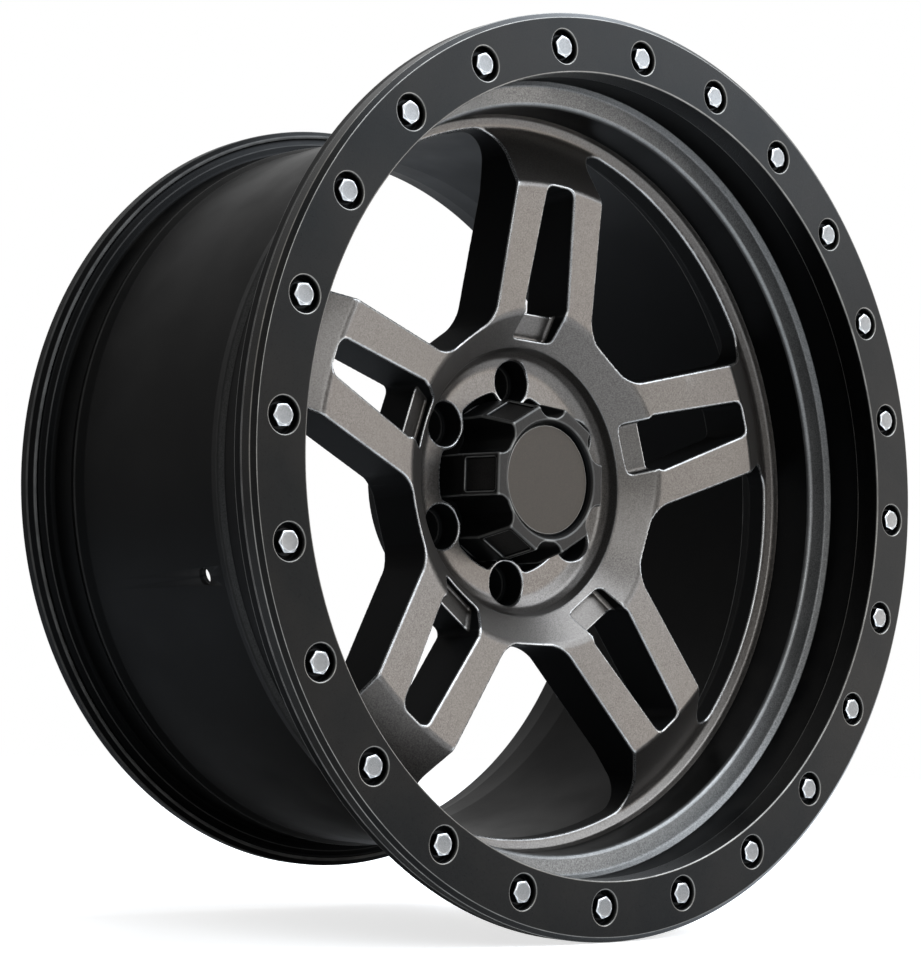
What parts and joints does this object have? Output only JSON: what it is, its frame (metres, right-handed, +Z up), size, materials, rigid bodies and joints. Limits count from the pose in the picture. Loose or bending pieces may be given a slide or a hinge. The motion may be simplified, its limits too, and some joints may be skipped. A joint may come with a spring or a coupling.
{
  "type": "wheel",
  "caption": "Deep-dish cast alloy off-road road wheel with split spokes, a bolted outer ring, a lobed blank centre cap and a wide black barrel.",
  "frame": {"origin": "on the axle, midway between the outer ring's face and the inboard rim edge", "axes": "+Y along the axle towards the vehicle, the outer face looks along -Y; +Z up through the top spoke; +X to the right seen from outside"},
  "size_m": [0.6069, 0.304, 0.607],
  "materials": {
    "casting": "bronze-grey metallic lacquer on the spokes and dish, satin black on the barrel",
    "ring": "satin black powder coat",
    "bolts": "bright zinc",
    "washers": "bright zinc",
    "cap": "satin gunmetal paint",
    "disc": "bronze-grey, bare",
    "spring": "plain spring wire"
  },
  "bodies": {
    "root": {"wheel": "casting", "outer_ring": "ring", "ring_bolts": "bolts", "ring_washers": "washers", "cap_body": "cap", "cap_disc": "disc", "cap_spring": "spring"}
  },
  "joints": []
}
